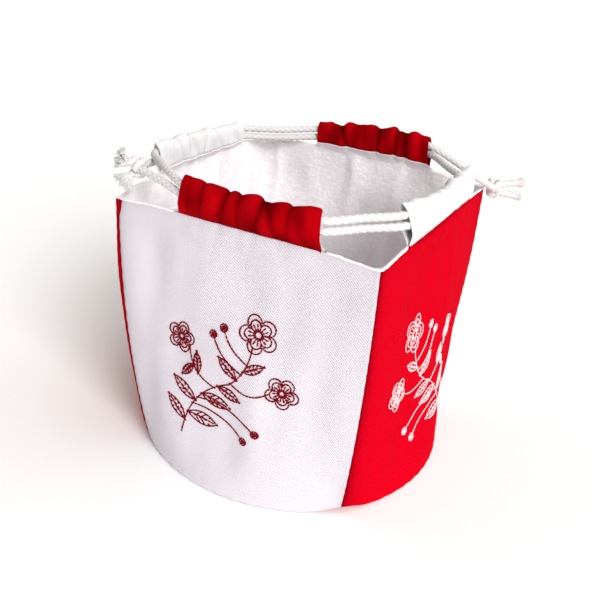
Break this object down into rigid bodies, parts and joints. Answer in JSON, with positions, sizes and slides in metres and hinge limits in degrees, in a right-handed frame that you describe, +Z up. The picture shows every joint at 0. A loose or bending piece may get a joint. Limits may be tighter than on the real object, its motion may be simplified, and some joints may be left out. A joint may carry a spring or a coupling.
{
  "type": "drawstring bento bag",
  "caption": "Open-topped cloth lunch bag with a rounded base and square mouth, lined inside, closed by two knotted drawcords that run through gathered casings along its top edge.",
  "frame": {"origin": "middle of the base, on the surface that the bag stands on", "axes": "+Z up; the white front panel faces -Y and the red right panel faces +X"},
  "size_m": [0.2056, 0.2056, 0.1978],
  "materials": {
    "white_canvas": "matte twill cotton, slightly cool white",
    "red_canvas": "matte twill cotton, bright red",
    "white_lining": "soft white cotton with a fine raised texture",
    "red_casing": "matte red cotton, gathered",
    "white_casing": "matte white cotton, gathered",
    "cotton_cord": "braided cotton cord with frayed ends"
  },
  "bodies": {
    "bag": {"front_panel": "white_canvas", "right_panel": "red_canvas", "back_panel": "white_canvas", "left_panel": "red_canvas", "base_panel": "red_canvas", "front_lining": "white_lining", "right_lining": "white_lining", "back_lining": "white_lining", "left_lining": "white_lining", "base_lining": "white_lining", "front_casing": "red_casing", "right_casing": "white_casing", "back_casing": "red_casing", "left_casing": "white_casing", "front_lower_run": "cotton_cord", "front_upper_run": "cotton_cord", "right_lower_run": "cotton_cord", "right_upper_run": "cotton_cord", "back_lower_run": "cotton_cord", "back_upper_run": "cotton_cord", "left_lower_run": "cotton_cord", "left_upper_run": "cotton_cord"},
    "front_left_corner": {"front_left_upper_cord": "cotton_cord", "left_knot_front_strand": "cotton_cord", "left_knot_side_strand": "cotton_cord"},
    "front_right_corner": {"front_right_lower_cord": "cotton_cord", "front_right_upper_cord": "cotton_cord"},
    "back_right_corner": {"back_right_lower_cord": "cotton_cord", "right_knot_back_strand": "cotton_cord", "right_knot_side_strand": "cotton_cord"},
    "back_left_corner": {"back_left_lower_cord": "cotton_cord", "back_left_upper_cord": "cotton_cord"},
    "left_pull": {"left_knot": "cotton_cord", "left_upper_tail": "cotton_cord", "left_lower_tail": "cotton_cord"},
    "right_pull": {"right_knot": "cotton_cord", "right_upper_tail": "cotton_cord", "right_lower_tail": "cotton_cord"}
  },
  "joints": [
    {"name": "draw", "type": "slide", "parent": "front_left_corner", "child": "left_pull", "axis": [-0.7071, -0.7071, 0], "range_m": [0, 0.041], "deforming": ["left_knot_front_strand", "left_knot_side_strand"]},
    {"name": "right_draw", "type": "slide", "parent": "back_right_corner", "child": "right_pull", "axis": [0.7071, 0.7071, 0], "range_m": [0, 0.041], "deforming": ["right_knot_back_strand", "right_knot_side_strand"]},
    {"name": "front_left_in", "type": "hinge", "parent": "bag", "child": "front_left_corner", "pos_m": [-0.0636, -0.0636, 0.002], "axis": [-0.7071, 0.7071, 0], "range_deg": [0, 6], "deforming": ["front_left_upper_cord"]},
    {"name": "front_right_in", "type": "hinge", "parent": "bag", "child": "front_right_corner", "pos_m": [0.0636, -0.0636, 0.002], "axis": [-0.7071, -0.7071, 0], "range_deg": [0, 6], "deforming": ["front_right_lower_cord", "front_right_upper_cord"]},
    {"name": "back_right_in", "type": "hinge", "parent": "bag", "child": "back_right_corner", "pos_m": [0.0636, 0.0636, 0.002], "axis": [0.7071, -0.7071, 0], "range_deg": [0, 6], "deforming": ["back_right_lower_cord"]},
    {"name": "back_left_in", "type": "hinge", "parent": "bag", "child": "back_left_corner", "pos_m": [-0.0636, 0.0636, 0.002], "axis": [0.7071, 0.7071, 0], "range_deg": [0, 6], "deforming": ["back_left_lower_cord", "back_left_upper_cord"]}
  ],
  "couplings": [
    {"joint": "right_draw", "follows": "draw", "ratio": 1},
    {"joint": "front_left_in", "follows": "draw", "rad_per_m": 2.554},
    {"joint": "front_right_in", "follows": "draw", "rad_per_m": 2.554},
    {"joint": "back_right_in", "follows": "draw", "rad_per_m": 2.554},
    {"joint": "back_left_in", "follows": "draw", "rad_per_m": 2.554}
  ]
}
